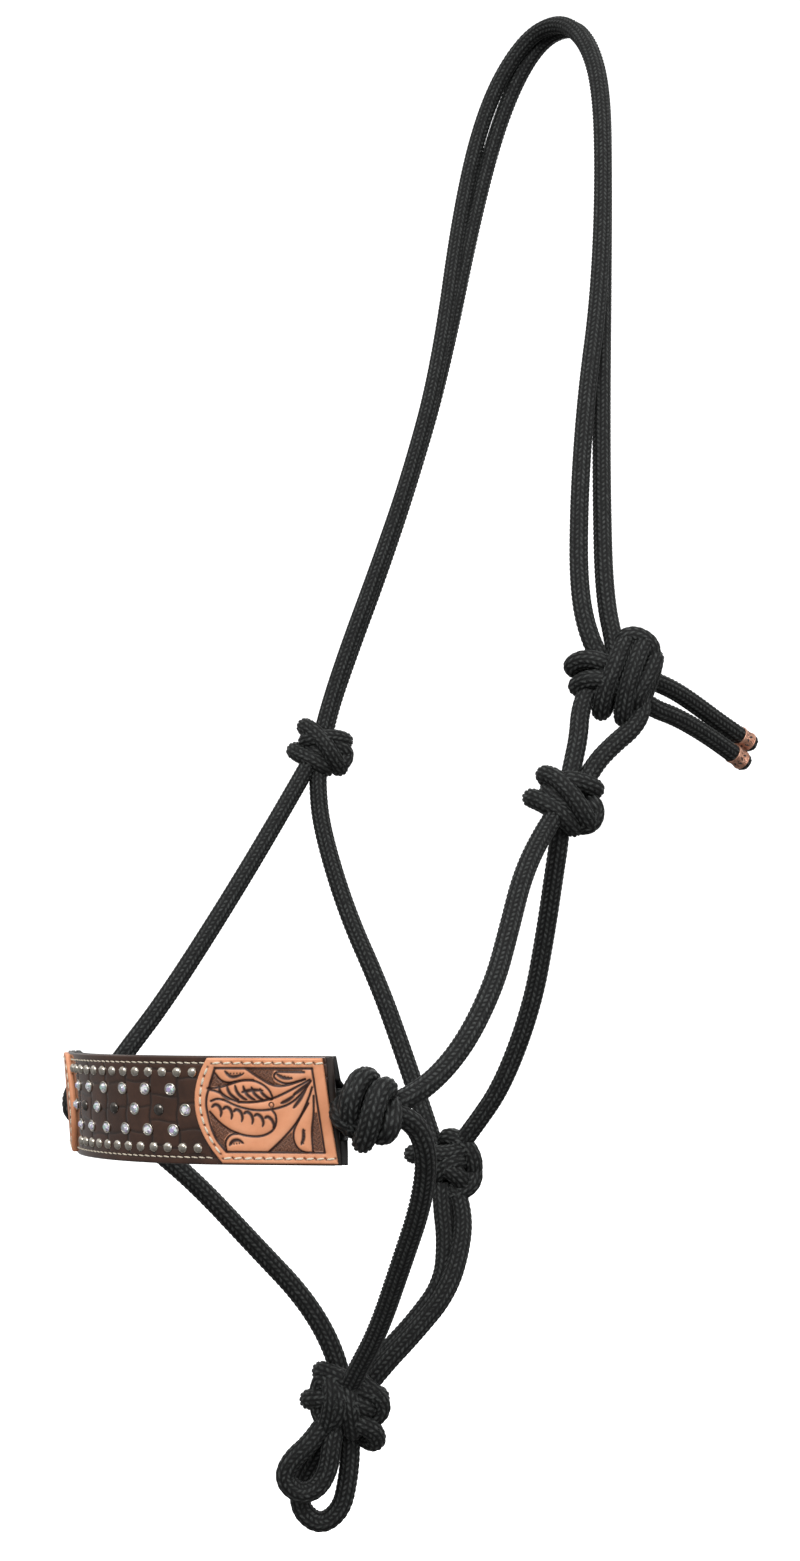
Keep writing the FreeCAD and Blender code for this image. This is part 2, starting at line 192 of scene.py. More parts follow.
def braided_tube(line, closed=False, radius=ROPE_RADIUS):
    """A braided rope's mesh along a line, with its crests in an attribute and its plaits in UV."""
    stops, plaits = plait_stops(line, closed)
    curve = bpy.data.curves.new("tube", "CURVE")
    curve.dimensions = "3D"
    curve.bevel_depth = radius
    curve.bevel_resolution = (PLAIT_COLUMNS * STEPS_PER_COLUMN - 4) // 2
    spline = curve.splines.new("POLY")
    spline.points.add(len(stops) - 1)
    spline.points.foreach_set("co", np.hstack([stops, np.ones((len(stops), 1))]).ravel())
    spline.use_cyclic_u = closed
    holder = bpy.data.objects.new("tube", curve)
    mesh = bpy.data.meshes.new_from_object(holder)
    bpy.data.objects.remove(holder)
    bpy.data.curves.remove(curve)

    round_steps = PLAIT_COLUMNS * STEPS_PER_COLUMN
    rings = len(mesh.vertices) // round_steps
    places = np.empty(len(mesh.vertices) * 3)
    mesh.vertices.foreach_get("co", places)
    places = places.reshape(rings, round_steps, 3)
    middles = places.mean(axis=1, keepdims=True)
    outward = places - middles
    outward /= np.linalg.norm(outward, axis=2, keepdims=True)
    column = np.arange(round_steps) / STEPS_PER_COLUMN
    across = 2 * (column % 1) - 1
    odd = np.floor(column) % 2
    phase = np.arange(rings)[:, None] / STEPS_PER_PLAIT
    lean = PLAIT_LEAN * across * np.where(odd == 1, 1, -1)
    along = 2 * ((phase + 0.5 * odd + lean) % 1) - 1
    height = np.sqrt(np.clip(1 - across ** 2, 0, 1) * np.clip(1 - along ** 2, 0, 1))
    reach = radius + PLAIT_RISE * (height - 0.4)
    mesh.vertices.foreach_set("co", (middles + outward * reach[:, :, None]).ravel())
    mesh.attributes.new("crest", "FLOAT", "POINT").data.foreach_set("value", height.ravel())
    uv = np.empty(len(mesh.loops) * 2)
    mesh.uv_layers[0].data.foreach_get("uv", uv)
    uv = uv.reshape(-1, 2) * (PLAIT_COLUMNS, plaits)
    mesh.uv_layers[0].data.foreach_set("uv", uv.ravel())
    shape = bmesh.new()
    shape.from_mesh(mesh)
    bmesh.ops.holes_fill(shape, edges=[edge for edge in shape.edges if edge.is_boundary], sides=0)
    bmesh.ops.recalc_face_normals(shape, faces=shape.faces)
    shape.to_mesh(mesh)
    shape.free()
    return mesh


def rope(name, body, points):
    """One stretch of the halter's rope, in place of the CAD tube of that name."""
    line = smooth_line(points)
    piece = piece_from("braided_" + name, braided_tube(line), rope_black)
    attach(piece, body)
    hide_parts(name)
    return piece


# ---------------------------------------------------------------- cheek ropes
# One stretch of rope on each side, from the knot beside the noseband up to the
# cheek knot. The near one has slack and bows away from the face.
rope("far_cheek_rope", "cheeks", [
    (-0.276, 0.108, -0.676), (-0.262, 0.106, -0.659), (-0.237, 0.102, -0.63),
    (-0.197, 0.097, -0.576), (-0.159, 0.093, -0.522), (-0.133, 0.091, -0.484)])
rope("near_cheek_rope", "cheeks", [
    (-0.286, -0.113, -0.681), (-0.27, -0.119, -0.677), (-0.24, -0.122, -0.656),
    (-0.21, -0.118, -0.624), (-0.189, -0.111, -0.594), (-0.171, -0.105, -0.566),
    (-0.15, -0.101, -0.543), (-0.136, -0.1, -0.53)])


# ---------------------------------------------------------------- nose ropes
# Two runs of the same rope, one above the other, that pass through the sleeve
# behind the noseband's leather and end in the knot at each side.
NOSE_LEVEL = -0.682

for level, half_gap, lean in (("upper", 0.0051, -0.0007), ("lower", -0.0051, 0.0007)):
    height = NOSE_LEVEL + half_gap
    knot_height = NOSE_LEVEL + 0.8 * half_gap
    rope("nose_rope_" + level, "cheeks", [
        (-0.293, -0.112, knot_height), (-0.2925 + lean, -0.0977, height),
        (-0.3085 + lean, -0.0762, height), (-0.3433 + lean, -0.0292, height),
        (-0.3433 + lean, 0.0292, height), (-0.3085 + lean, 0.0762, height),
        (-0.2925 + lean, 0.0977, height), (-0.281, 0.11, knot_height)])


# ---------------------------------------------------------------- throat ropes
# The ropes that cross under the jaw, from the cheek knots to the throat knot,
# each worked a little way into the knots at its ends.
rope("far_throat_rope", "throat", [
    (-0.129, 0.089, -0.486), (-0.131, 0.088, -0.498), (-0.134, 0.081, -0.527),
    (-0.133, 0.061, -0.577), (-0.128, 0.038, -0.622), (-0.125, 0.023, -0.658),
    (-0.124, 0.009, -0.69), (-0.123, 0, -0.712)])
rope("near_throat_rope", "throat", [
    (-0.128, -0.097, -0.532), (-0.127, -0.095, -0.544), (-0.123, -0.088, -0.562),
    (-0.117, -0.077, -0.593), (-0.112, -0.063, -0.633), (-0.112, -0.042, -0.676),
    (-0.116, -0.024, -0.7), (-0.12, -0.012, -0.715)])


# ---------------------------------------------------------------- chin ropes
# From the noseband's knots down and back to the fiador knot. The near one
# leaves its knot backwards and turns down in a tight bend.
rope("far_chin_rope", "chin", [
    (-0.277, 0.105, -0.688), (-0.27, 0.097, -0.697), (-0.258, 0.081, -0.711),
    (-0.244, 0.061, -0.731), (-0.2266, 0.0385, -0.76), (-0.207, 0.0148, -0.791),
    (-0.1965, 0.002, -0.822), (-0.196, 0.001, -0.835)])
rope("near_chin_rope", "chin", [
    (-0.281, -0.118, -0.684), (-0.273, -0.122, -0.686), (-0.262, -0.121, -0.702),
    (-0.2485, -0.1045, -0.728), (-0.2324, -0.0763, -0.76), (-0.2124, -0.0414, -0.799),
    (-0.2034, -0.0165, -0.824), (-0.199, -0.006, -0.835)])


# ---------------------------------------------------------------- throat drop
# Two strands side by side that hang from the throat knot and run forward into
# the fiador knot.
rope("drop_strand_front", "throat_drop", [
    (-0.126, -0.008, -0.732), (-0.128, -0.01, -0.744), (-0.129, -0.014, -0.762),
    (-0.136, -0.0177, -0.785), (-0.1543, -0.0122, -0.805), (-0.1716, -0.0065, -0.82),
    (-0.188, -0.003, -0.834)])
rope("drop_strand_rear", "throat_drop", [
    (-0.121, -0.013, -0.732), (-0.12, -0.018, -0.744), (-0.125, -0.0227, -0.762),
    (-0.14, -0.0254, -0.788), (-0.161, -0.0184, -0.809), (-0.1775, -0.011, -0.825),
    (-0.19, -0.004, -0.841)])


# ---------------------------------------------------------------- lead loops
# The two small eyes of rope under the fiador knot that a lead rope clips to.
rope("lead_loop_outer", "lead_loop", [
    (-0.191, 0, -0.848), (-0.189, 0.001, -0.867), (-0.19, 0.002, -0.883),
    (-0.192, 0.005, -0.899), (-0.2, 0.013, -0.907), (-0.208, 0.021, -0.898),
    (-0.207, 0.02, -0.883), (-0.202, 0.013, -0.869), (-0.199, 0.006, -0.852)])
rope("lead_loop_inner", "lead_loop", [
    (-0.204, 0.002, -0.848), (-0.2125, 0.0065, -0.861), (-0.22, 0.0145, -0.87),
    (-0.2225, 0.018, -0.88), (-0.2165, 0.012, -0.888), (-0.2095, 0.005, -0.885),
    (-0.2055, 0.001, -0.875), (-0.205, 0, -0.864), (-0.201, 0, -0.85)])


# ---------------------------------------------------------------- crown
# Two strands from the far cheek knot over the poll to the crown tie on the
# near side, and the short loop that joins the tie to the near cheek knot.
rope("crown_strand_front", "crown", [
    (-0.125, 0.089, -0.465), (-0.122, 0.088, -0.452), (-0.111, 0.081, -0.412),
    (-0.097, 0.07, -0.363), (-0.081, 0.058, -0.304), (-0.063, 0.049, -0.231),
    (-0.032, 0.056, -0.107), (-0.015, 0.048, -0.036), (-0.005, 0.024, 0.003),
    (-0.005, -0.006, 0.005), (-0.011, -0.031, -0.019), (-0.02, -0.049, -0.059),
    (-0.038, -0.064, -0.132), (-0.06, -0.076, -0.215), (-0.0784, -0.0795, -0.281),
    (-0.092, -0.084, -0.346), (-0.105, -0.093, -0.405), (-0.1067, -0.1043, -0.438),
    (-0.102, -0.109, -0.446)])
rope("crown_strand_rear", "crown", [
    (-0.12, 0.092, -0.465), (-0.114, 0.095, -0.452), (-0.103, 0.087, -0.412),
    (-0.089, 0.076, -0.363), (-0.074, 0.064, -0.304), (-0.056, 0.053, -0.231),
    (-0.024, 0.05, -0.107), (-0.005, 0.041, -0.036), (0.005, 0.021, 0.003),
    (0.005, -0.008, 0.005), (-0.001, -0.028, -0.019), (-0.011, -0.044, -0.059),
    (-0.03, -0.058, -0.132), (-0.0506, -0.0715, -0.215), (-0.0642, -0.08, -0.281),
    (-0.0785, -0.09, -0.346), (-0.0915, -0.1008, -0.405), (-0.0962, -0.112, -0.438),
    (-0.097, -0.112, -0.446)])
rope("tie_loop_front", "crown", [
    (-0.125, -0.101, -0.511), (-0.122, -0.101, -0.502), (-0.118, -0.102, -0.487),
    (-0.115, -0.101, -0.472), (-0.11, -0.103, -0.459), (-0.104, -0.107, -0.455)])
rope("tie_loop_rear", "crown", [
    (-0.118, -0.106, -0.512), (-0.113, -0.109, -0.502), (-0.104, -0.115, -0.491),
    (-0.093, -0.121, -0.481), (-0.087, -0.123, -0.47), (-0.089, -0.119, -0.459),
    (-0.092, -0.116, -0.455)])


# ---------------------------------------------------------------- tails of the crown tie
# The crown's two loose ends. Each end is melted hard and black, and wound just
# behind that with nine turns of copper coloured wire.
WHIPPING_LENGTH = 0.009
WHIPPING_SETBACK = 0.0025
WHIPPING_TURNS = 9
WIRE_RADIUS = 0.00055

copper_wire, tree, shader = new_material("copper_wire", (0.62, 0.33, 0.23), 0.36)
shader.inputs["Metallic"].default_value = 0.75
tarnish = pattern(tree, "ShaderNodeTexNoise", Scale=420.0, Detail=2.0)
tone = colour_ramp(tree, tarnish.outputs["Fac"], [
    (0.3, (0.36, 0.17, 0.11)), (0.6, (0.68, 0.38, 0.27))])
tree.links.new(tone, shader.inputs["Base Color"])

melted_end, tree, shader = new_material("melted_end", (0.012, 0.012, 0.012), 0.3)
lumps = pattern(tree, "ShaderNodeTexNoise", Scale=500.0, Detail=2.0)
add_bump(tree, shader, lumps.outputs["Fac"], 0.5, 0.0004)

TAILS = {
    "upper": (0.102, [
        (-0.084, -0.115, -0.45), (-0.072, -0.117, -0.451), (-0.053, -0.12, -0.455),
        (-0.033, -0.122, -0.462), (-0.009, -0.125, -0.472), (0.013, -0.128, -0.48)]),
    "lower": (0.095, [
        (-0.082, -0.115, -0.461), (-0.071, -0.117, -0.467), (-0.053, -0.12, -0.47),
        (-0.033, -0.122, -0.4755), (-0.012, -0.125, -0.4835), (0.007, -0.127, -0.4915)]),
}
for level, (length, points) in TAILS.items():
    tip = Vector(points[-1])
    run = (tip - Vector(points[-2])).normalized()
    turn = run.to_track_quat("Z", "Y").to_matrix().to_4x4()
    shape = bmesh.new()
    for i in range(WHIPPING_TURNS):
        back = WHIPPING_SETBACK + (i + 0.5) * WHIPPING_LENGTH / WHIPPING_TURNS
        ring = bmesh.ops.create_circle(shape, segments=8, radius=WIRE_RADIUS)["verts"]
        pinch = 0.0005 * math.sin(math.pi * i / (WHIPPING_TURNS - 1))
        bmesh.ops.rotate(shape, verts=ring, cent=(0, 0, 0), matrix=Matrix.Rotation(math.pi / 2, 3, "X"))
        bmesh.ops.translate(shape, verts=ring, vec=(ROPE_RADIUS + 0.0003 - pinch, 0, -back))
        edges = list({edge for vertex in ring for edge in vertex.link_edges})
        bmesh.ops.spin(shape, geom=ring + edges, cent=(0, 0, 0), axis=(0, 0, 1), dvec=(0, 0, 0),
                       angle=2 * math.pi, steps=40, use_merge=True, use_duplicate=False)
    bmesh.ops.recalc_face_normals(shape, faces=shape.faces)
    shape.transform(Matrix.Translation(tip) @ turn)
    mesh = mesh_from("wire_whipping_" + level, shape)
    whipping = piece_from("wire_whipping_" + level, mesh, copper_wire)
    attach(whipping, "tail")
    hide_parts("tail_whipping_" + level)

    shape = bmesh.new()
    bmesh.ops.create_uvsphere(shape, u_segments=28, v_segments=16, radius=ROPE_RADIUS * 0.97)
    bmesh.ops.scale(shape, vec=(1, 1, 0.42), verts=shape.verts)
    for vertex in shape.verts:
        vertex.co *= 1 + 0.05 * math.sin(900 * vertex.co.x + level.count("p")) * math.cos(800 * vertex.co.y)
    shape.transform(Matrix.Translation(tip) @ turn)
    mesh = mesh_from("melted_tip_" + level, shape)
    melted = piece_from("melted_tip_" + level, mesh, melted_end)
    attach(melted, "tail")
    rope("tail_strand_" + level, "tail", points)


# ---------------------------------------------------------------- knots
# Each knot is the halter's own rope, drawn up tight: closed passes that cross
# over each other, in millimetres to the right, up, and out from the knot's middle.
RIGHT = Vector((0.682, -0.731, 0))
UP = Vector((0, 0, 1))
OUT = Vector((-0.731, -0.682, 0))

KNOTS = {
    "near_nose_knot": ("cheeks", (-0.293, -0.112, -0.682), [
        [(-8, -9, 1), (-9.5, 0, 7), (-8, 8, 8.5), (-4, 15.5, 5), (0.5, 15.5, -3), (2, 8, -9), (-5, -3, -8)],
        [(9, 11.5, 2), (5, 10, 8.5), (2, 1, 10.5), (0, -7, 9.5), (-2.6, -14, 5), (-3, -14, -3),
         (2, -5, -9), (7, 6, -8)],
        [(10, 3, -3), (10.5, -1, 4), (9.5, -9, 5), (5, -11, 0), (3, -8, -7), (8, 0, -9)],
        [(-12, 3, -6), (-14, 0, 0), (-12, -4, 5), (-5, -5, 3), (0, 0, -4), (-5, 5, -8)]]),
    "far_nose_knot": ("cheeks", (-0.281, 0.11, -0.682), [
        [(8, -9, 1), (9.5, 0, 7), (8, 8, 8.5), (4, 14.5, 5), (-0.5, 14.5, -3), (-2, 8, -9), (5, -3, -8)],
        [(-9, 10.5, 2), (-5, 10, 8.5), (-2, 1, 10.5), (0, -7, 9.5), (2.6, -13, 5), (3, -13, -3),
         (-2, -5, -9), (-7, 6, -8)],
        [(-10, 3, -3), (-10.5, -1, 4), (-9.5, -9, 5), (-5, -10, 0), (-3, -8, -7), (-8, 0, -9)]]),
    "near_cheek_knot": ("cheeks", (-0.129, -0.1, -0.522), [
        [(-11, 14, 1), (-4, 10.5, 7.5), (4, 1, 9.5), (10, -9, 8), (14, -14, 2), (11, -13, -5), (1, 0, -9),
         (-8, 12, -7)],
        [(-18, 1, 0), (-12, -2, 6.5), (-4, -7, 8.5), (3, -14, 6), (6, -16, 0), (2, -12, -6), (-7, -3, -9),
         (-16, 1, -6)],
        [(17, 6, 1), (11, 8, 6), (3, 10, 7), (-3, 9, 2), (2, 8, -6), (11, 7, -7), (17, 5, -3)],
        [(15, -2, 3), (17, -7, 2), (15, -13, 3), (8, -15, 1), (8, -8, -5), (13, -3, -4)],
        [(-9, 4, 4), (-2, -2, 5), (7, -8, 4), (9, -3, -3), (2, 5, -5), (-7, 6, -3)]]),
    "far_cheek_knot": ("cheeks", (-0.127, 0.09, -0.476), [
        [(-10, 13.5, 1), (-4, 9.5, 7.5), (4, 1, 9.5), (9, -8, 8), (13, -12.5, 2), (11, -12, -5), (1, 0, -9),
         (-7, 11, -6)],
        [(-16, -2, 0), (-10, -6, 6), (-4, -9, 8), (3, -13, 6), (5, -13, -1), (1, -9, -7), (-7, -3, -8),
         (-14, -1, -5)],
        [(16, 4, 1), (10, 5, 6), (2, 5, 8), (-6, 4, 7), (-9, 3, 0), (-3, 4, -7), (7, 5, -7), (14, 4, -4)],
        [(14, -1, 4), (16, -5, 1), (14, -10, 3), (7, -10, 5), (4, -4, 6), (7, 1, 5)],
        [(-7, 2, 3), (0, -4, 5), (7, -7, 3), (8, -2, -3), (0, 3, -4), (-7, 4, -2)]]),
    "crown_tie_knot": ("crown", (-0.097, -0.112, -0.452), [
        [(-25, 6, 0), (-18, 9, 6), (-9, 7, 8), (0, 3, 6), (2, 2, -6), (-9, 3, -8), (-20, 4, -5)],
        [(-23, -6, 0), (-17, -3, 7), (-9, -3, 9), (-1, -6, 8), (2, -9, 0), (-2, -9, -7), (-13, -6, -8)],
        [(6, 20, 3), (2, 13, 8), (-2, 3, 11), (-7, -9, 9), (-9, -20, 3), (-7, -19, -4), (0, -4, -9),
         (6, 12, -7)],
        [(17, 19, 2), (13, 14, 8), (9, 4, 11), (5, -8, 10), (3, -22, 4), (5, -24, -3), (11, -8, -9),
         (17, 12, -7)],
        [(22, 12, 2), (19, 4, 6), (15, -4, 7), (10, -12, 6), (11, -17, 0), (17, -8, -6), (21, 4, -5)],
        [(3, 20, 2), (10, 23, 4), (19, 18, 4), (20, 10, 2), (14, 6, -5), (5, 10, -7)],
        [(-9, 5, 3), (2, 3, 4), (11, 4, 4), (11, -7, 0), (0, -7, -4), (-9, -4, -2)]]),
    "throat_knot": ("throat", (-0.122, -0.006, -0.722), [
        [(-19, 6, 0), (-10, 7, 6), (0, 6, 9), (9, 8, 7), (14, 8, 1), (8, 7, -7), (-2, 6, -9), (-14, 6, -6)],
        [(3, 16, 2), (10, 14, 5), (16, 6, 6), (17, -3, 4), (13, -4, -5), (6, 4, -9), (1, 13, -6)],
        [(17, -2, 3), (16, -10, 5), (8, -15, 6), (-1, -16, 3), (-3, -14, -5), (5, -9, -9), (14, -6, -6)],
        [(-7, -2, 3), (-1, 1, 8), (5, -3, 10), (10, -8, 8), (11, -12, 1), (4, -9, -7), (-4, -4, -7)],
        [(-8, -9, 2), (-4, -4, 7), (3, 2, 10), (9, 3, 8), (9, 1, -5), (1, -4, -9), (-6, -9, -5)],
        [(-4, 7, 3), (5, 0, 5), (9, -7, 3), (3, -9, -3), (-3, 0, -4)]]),
    "fiador_knot": ("chin", (-0.196, 0, -0.841), [
        [(-12, 15, 1), (-8, 15, 6), (1, 12, 9), (10, 6, 9), (19, 3, 3), (20, 0, -3), (10, 4, -8), (-3, 9, -9),
         (-11, 14, -5)],
        [(-19, 0, 0), (-14, 2, 7), (-5, 3, 10), (5, 1, 11), (13, -3, 8), (14, -5, -4), (0, 0, -10),
         (-16, 0, -6)],
        [(-12, 11, 4), (-6, 10, 9), (0, 2, 12), (-3, -8, 10), (-11, -9, 4), (-13, 0, 4)],
        [(-6, 13, 8), (-5, 4, 12), (-6, -5, 10), (-9, -15, 5), (-8, -16, -5), (-4, -3, -10), (-4, 11, -8)],
        [(2, -7, 7), (9, -10, 9), (17, -15, 5), (18, -22, 0), (11, -21, -6), (4, -12, -8), (0, -7, -2)],
        [(3, 10, 9), (4, 1, 12), (5, -8, 10), (6, -16, 4), (4, -15, -6), (4, -2, -10), (3, 9, -8)],
        [(10, 9, 6), (17, 4, 6), (21, -3, 3), (17, -9, 2), (10, -10, -4), (9, 0, -8), (10, 9, -5)]]),
}
for name, (body, middle, passes) in KNOTS.items():
    shape = bmesh.new()
    for turns in passes:
        points = [Vector(middle) + (RIGHT * u + UP * v + OUT * w) / 1000 for u, v, w in turns]
        mesh = braided_tube(smooth_line(points, closed=True), closed=True)
        shape.from_mesh(mesh)
        bpy.data.meshes.remove(mesh)
    mesh = mesh_from("tied_" + name, shape)
    piece = piece_from("tied_" + name, mesh, rope_black)
    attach(piece, body)
    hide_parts(name)


# ---------------------------------------------------------------- noseband strap
# A strap of firm dark leather that runs over the nose and leans a little
# forward. Its cut edges are rounded and burnished almost black.
BAND_FRONT = -0.3485
BAND_LEVEL = -0.682
BAND_LEAN = 0.12
BEND_RADIUS = 0.0936
HALF_TURN = math.radians(36.6)
ARC_LENGTH = BEND_RADIUS * HALF_TURN
REACH = ARC_LENGTH + 0.052
HALF_BAND = 0.0254
STRAP_FACE = 0.003
STRAP_SLICES = 96


def on_band(along, up, out):
    """A place on the noseband: along from its front, up from its middle, out from its back."""
    side = -1 if along < 0 else 1
    turn = min(abs(along) / BEND_RADIUS, HALF_TURN)
    rest = max(abs(along) - ARC_LENGTH, 0)
    reach = BEND_RADIUS + out
    x = BEND_RADIUS - reach * math.cos(turn) + rest * math.sin(turn)
    y = reach * math.sin(turn) + rest * math.cos(turn)
    return Vector((BAND_FRONT + x - BAND_LEAN * up, side * y, BAND_LEVEL + up))


def bent_piece(name, shape, material, replaced, smooth=True):
    """A shape laid out flat (along, up, out) is bent over the nose and becomes a piece."""
    for vertex in shape.verts:
        vertex.co = on_band(*vertex.co)
    bmesh.ops.recalc_face_normals(shape, faces=shape.faces)
    mesh = mesh_from(name, shape)
    piece = piece_from(name, mesh, material, smooth)
    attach(piece, "cheeks")
    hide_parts(*replaced)
    return piece


def grain_bump(tree, shader, scale, strength, distance):
    """Fine leather grain: small pebbles with creases between them."""
    pebbles = pattern(tree, "ShaderNodeTexVoronoi", Scale=scale)
    add_bump(tree, shader, pebbles.outputs["Distance"], strength, distance)


strap_leather, tree, shader = new_material("strap_leather", (0.018, 0.011, 0.008), 0.42)
grain_bump(tree, shader, 1400, 0.3, 0.0001)
stain = pattern(tree, "ShaderNodeTexNoise", Scale=90.0, Detail=4.0)
tone = colour_ramp(tree, stain.outputs["Fac"], [(0.35, (0.010, 0.007, 0.006)), (0.7, (0.03, 0.018, 0.012))])
tree.links.new(tone, shader.inputs["Base Color"])

shape = bmesh.new()
bmesh.ops.create_cube(shape, size=1)
bmesh.ops.scale(shape, vec=(2 * REACH, 2 * HALF_BAND, STRAP_FACE), verts=shape.verts)
bmesh.ops.translate(shape, vec=(0, 0, STRAP_FACE / 2), verts=shape.verts)
long_edges = [edge for edge in shape.edges if abs(edge.verts[0].co.x - edge.verts[1].co.x) > REACH]
bmesh.ops.bevel(shape, geom=long_edges, offset=0.0009, segments=4, profile=0.5, affect="EDGES", material=-1)
for i in range(1, STRAP_SLICES):
    cut = -REACH + 2 * REACH * i / STRAP_SLICES
    bmesh.ops.bisect_plane(shape, geom=shape.verts[:] + shape.edges[:] + shape.faces[:],
                           plane_co=(cut, 0, 0), plane_no=(1, 0, 0))
bent_piece("leather_strap", shape, strap_leather, ["noseband_base"])


# ---------------------------------------------------------------- sleeve lining
# Soft black leather behind the strap, sewn to it along both edges and standing
# off it between them, so that the two nose ropes can run through.
LINING_THICKNESS = 0.0023
SLEEVE_DEPTH = 0.0105
SLEEVE_FLAT = 0.0104
SLEEVE_FOOT = 0.0146
SLEEVE_FLARE = 0.0034

lining_leather, tree, shader = new_material("lining_leather", (0.012, 0.011, 0.011), 0.62)
grain_bump(tree, shader, 900, 0.4, 0.00015)
scuffs = pattern(tree, "ShaderNodeTexNoise", Scale=130.0, Detail=5.0)
tone = colour_ramp(tree, scuffs.outputs["Fac"], [
    (0.35, (0.006, 0.006, 0.006)), (0.75, (0.026, 0.024, 0.023))])
tree.links.new(tone, shader.inputs["Base Color"])

shape = bmesh.new()
bmesh.ops.create_grid(shape, x_segments=150, y_segments=60, size=1)
for vertex in shape.verts:
    along, up = vertex.co.x * REACH, vertex.co.y * HALF_BAND
    slope = min(max((SLEEVE_FOOT - abs(up)) / (SLEEVE_FOOT - SLEEVE_FLAT), 0), 1)
    depth = SLEEVE_DEPTH * slope * slope * (3 - 2 * slope)
    flare = SLEEVE_FLARE * (abs(along) / REACH) ** 30 * (0.35 + 0.65 * math.cos(1.3 * up / HALF_BAND + 0.35))
    vertex.co = (along + math.copysign(flare, along), up, -depth)
walls = bmesh.ops.extrude_face_region(shape, geom=shape.faces[:])["geom"]
back = [item for item in walls if isinstance(item, bmesh.types.BMVert)]
bmesh.ops.translate(shape, verts=back, vec=(0, 0, -LINING_THICKNESS))
bent_piece("sleeve_lining", shape, lining_leather, ["noseband_lining"])


# ---------------------------------------------------------------- crocodile overlay
# Thin glossy brown leather pressed with crocodile scales, glued over the strap
# and stitched along both edges. Its scales stand in uneven columns.
OVERLAY_FACE = 0.0042
SCALE_WIDTH = 14.6
SCALE_HEIGHT = 12.0
STITCH_ROW = 22.1


def closed_below(shape, level):
    """Give a sheet straight sides down to a level, and close it underneath."""
    rim = [edge for edge in shape.edges if edge.is_boundary]
    grown = bmesh.ops.extrude_edge_only(shape, edges=rim)["geom"]
    for vertex in [item for item in grown if isinstance(item, bmesh.types.BMVert)]:
        vertex.co.z = level
    rim = [edge for edge in shape.edges if edge.is_boundary]
    bmesh.ops.holes_fill(shape, edges=rim, sides=0)


def crocodile(along, up):
    """Height of the pressed scales, in mm, at a place in mm, and how far into a groove it lies, which the
    material paints as shade.
    """
    column = along / SCALE_WIDTH + 0.5 + 0.05 * math.sin(up / 7 + along / 50) + 0.03 * math.sin(up / 2.3)
    across = column % 1
    number = math.floor(column)
    row = up / SCALE_HEIGHT + 0.37 * number + 0.28 * math.sin(5.1 * number) + 0.05 * math.sin(along / 3.1)
    rise = row % 1
    from_side = min(across, 1 - across) * SCALE_WIDTH
    from_end = min(rise, 1 - rise) * SCALE_HEIGHT
    groove = max(math.exp(-(from_side / 0.55) ** 2), 0.8 * math.exp(-(from_end / 0.5) ** 2))
    pillow = (1 - (2 * across - 1) ** 6) * (1 - (2 * rise - 1) ** 6)
    return 0.14 * pillow - 0.3 * groove, groove


crocodile_leather, tree, shader = new_material("crocodile_leather", (0.05, 0.021, 0.012), 0.24)
# The groove attribute mixes a near-black brown into the mottled colour: painted shade in the grooves between
# scales and along the stitch lines.
groove = tree.nodes.new("ShaderNodeAttribute")
groove.attribute_name = "groove"
mottle = pattern(tree, "ShaderNodeTexNoise", Scale=75.0, Detail=5.0, Roughness=0.6)
brown = colour_ramp(tree, mottle.outputs["Fac"], [
    (0.3, (0.034, 0.014, 0.008)), (0.5, (0.052, 0.022, 0.0125)), (0.72, (0.078, 0.033, 0.019))])
groove_shade_mix = tree.nodes.new("ShaderNodeMix")
groove_shade_mix.data_type = "RGBA"
tree.links.new(groove.outputs["Fac"], groove_shade_mix.inputs["Factor"])
tree.links.new(brown, groove_shade_mix.inputs["A"])
groove_shade_mix.inputs["B"].default_value = (0.012, 0.006, 0.004, 1)
tree.links.new(groove_shade_mix.outputs["Result"], shader.inputs["Base Color"])
creases = pattern(tree, "ShaderNodeTexVoronoi", Scale=520.0)
creases.feature = "DISTANCE_TO_EDGE"
add_bump(tree, shader, creases.outputs["Distance"], 0.12, 0.0002)
shader.inputs["Coat Weight"].default_value = 0.4
shader.inputs["Coat Roughness"].default_value = 0.12

shape = bmesh.new()
bmesh.ops.create_grid(shape, x_segments=400, y_segments=90, size=1)
groove_layer = shape.verts.layers.float.new("groove")
for vertex in shape.verts:
    along, up = vertex.co.x * (REACH - 0.003) * 1000, vertex.co.y * HALF_BAND * 1000
    rise, groove = crocodile(along, up)
    stitch_line = math.exp(-((abs(up) - STITCH_ROW) / 0.5) ** 2)
    rounding = max(abs(up) - 24.5, 0) ** 2 * 0.6
    if abs(up) > STITCH_ROW - 1.2:
        rise, groove = 0.05, 0
    # The groove value, raised along the stitch lines, is painted shade in the material.
    vertex[groove_layer] = min(groove + 0.7 * stitch_line, 1)
    vertex.co = (along / 1000, up / 1000, OVERLAY_FACE + (rise - 0.25 * stitch_line - rounding) / 1000)
closed_below(shape, STRAP_FACE)
bent_piece("crocodile_overlay", shape, crocodile_leather, ["noseband_overlay"])


# ---------------------------------------------------------------- tooled end plates
# Light tan saddle leather, one plate on each arm, carved by hand with a leaf
# and petals. The cuts are bevelled, and the ground is pebbled and dyed dark, a
# little lighter on its raised pebbles. The cuts, veins, seeds and rosette are
# darkened partly as dye and partly as painted shade, with a soft painted shade
# beside each cut and vein, and the stitch holes are painted dark as shade.
PLATE_BACK = 29.75
PLATE_CORNER = 27.1
PLATE_BOW = 9.4
PLATE_TOP = 24.5
PLATE_SKEW = 0.075
PLATE_RISE = 2.6
PLATE_GAUGE = 0.955
PLATE_SETBACK = 2.8
PLATE_STITCH_PITCH = 5.1
FRONT_STITCH_PITCH = 4.55
FRONT_STITCH_INSET = 2.9
STITCH_SLANT = 0.12
HOLE_REACH = 2.3

